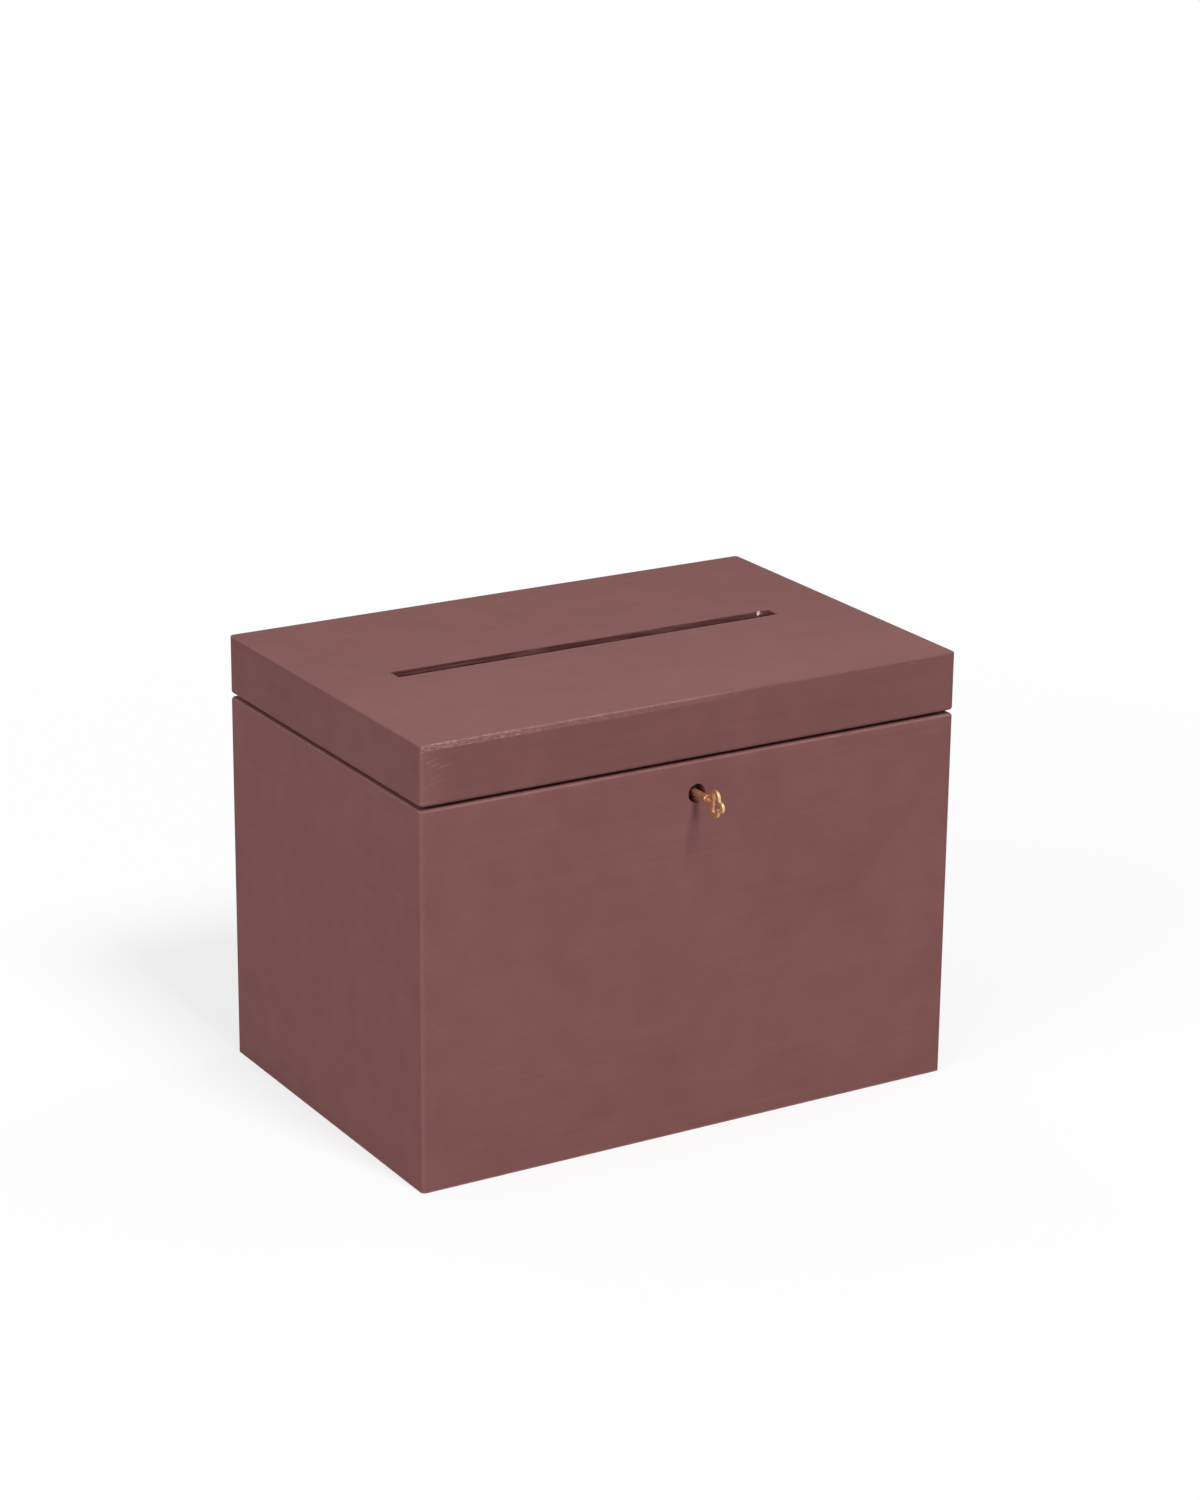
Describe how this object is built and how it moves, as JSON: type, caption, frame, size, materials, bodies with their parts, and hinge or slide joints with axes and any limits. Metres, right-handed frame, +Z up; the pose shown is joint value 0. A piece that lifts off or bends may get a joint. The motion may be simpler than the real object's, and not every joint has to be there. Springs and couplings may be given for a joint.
{
  "type": "envelope box",
  "caption": "Painted wooden box for envelopes, with a long letter slot in its hinged lid and a small brass key in a front lock.",
  "frame": {"origin": "middle of the underside of the box", "axes": "+X to the right along the front, +Y to the rear, +Z up"},
  "size_m": [0.3, 0.225, 0.2239],
  "materials": {
    "painted_wood": "smooth mauve-brown paint with a low sheen",
    "hinge_brass": "polished",
    "lock_steel": "plain zinc-plated",
    "key_brass": "coppery, worn and shiny"
  },
  "bodies": {
    "box": {"front_wall": "painted_wood", "rear_wall": "painted_wood", "left_wall": "painted_wood", "right_wall": "painted_wood", "base_panel": "painted_wood", "lock_plate": "lock_steel", "lock_case": "lock_steel", "hook_spring": "lock_steel", "lock_screws": "lock_steel", "left_hinge_body_leaf": "hinge_brass", "right_hinge_body_leaf": "hinge_brass", "left_hinge_pin": "hinge_brass", "right_hinge_pin": "hinge_brass", "hinge_body_screws": "hinge_brass"},
    "lid": {"lid_front_rail": "painted_wood", "lid_rear_rail": "painted_wood", "lid_left_rail": "painted_wood", "lid_right_rail": "painted_wood", "lid_top_panel": "painted_wood", "left_hinge_lid_leaf": "hinge_brass", "right_hinge_lid_leaf": "hinge_brass", "hinge_lid_screws": "hinge_brass", "strike_plate": "lock_steel", "strike_screws": "lock_steel"},
    "hook": {"turning_hook": "lock_steel", "drill_pin": "lock_steel"},
    "key": {"key": "key_brass"}
  },
  "joints": [
    {"name": "lid_hinge", "type": "hinge", "parent": "box", "child": "lid", "pos_m": [0, 0.0988, 0.1929], "axis": [-1, 0, 0], "range_deg": [0, 100]},
    {"name": "key_turn", "type": "hinge", "parent": "box", "child": "hook", "pos_m": [0, -0.09, 0.1757], "axis": [0, 1, 0], "range_deg": [0, 90]},
    {"name": "key_withdraw", "type": "slide", "parent": "hook", "child": "key", "axis": [0, -1, 0], "range_m": [0, 0.03]}
  ]
}
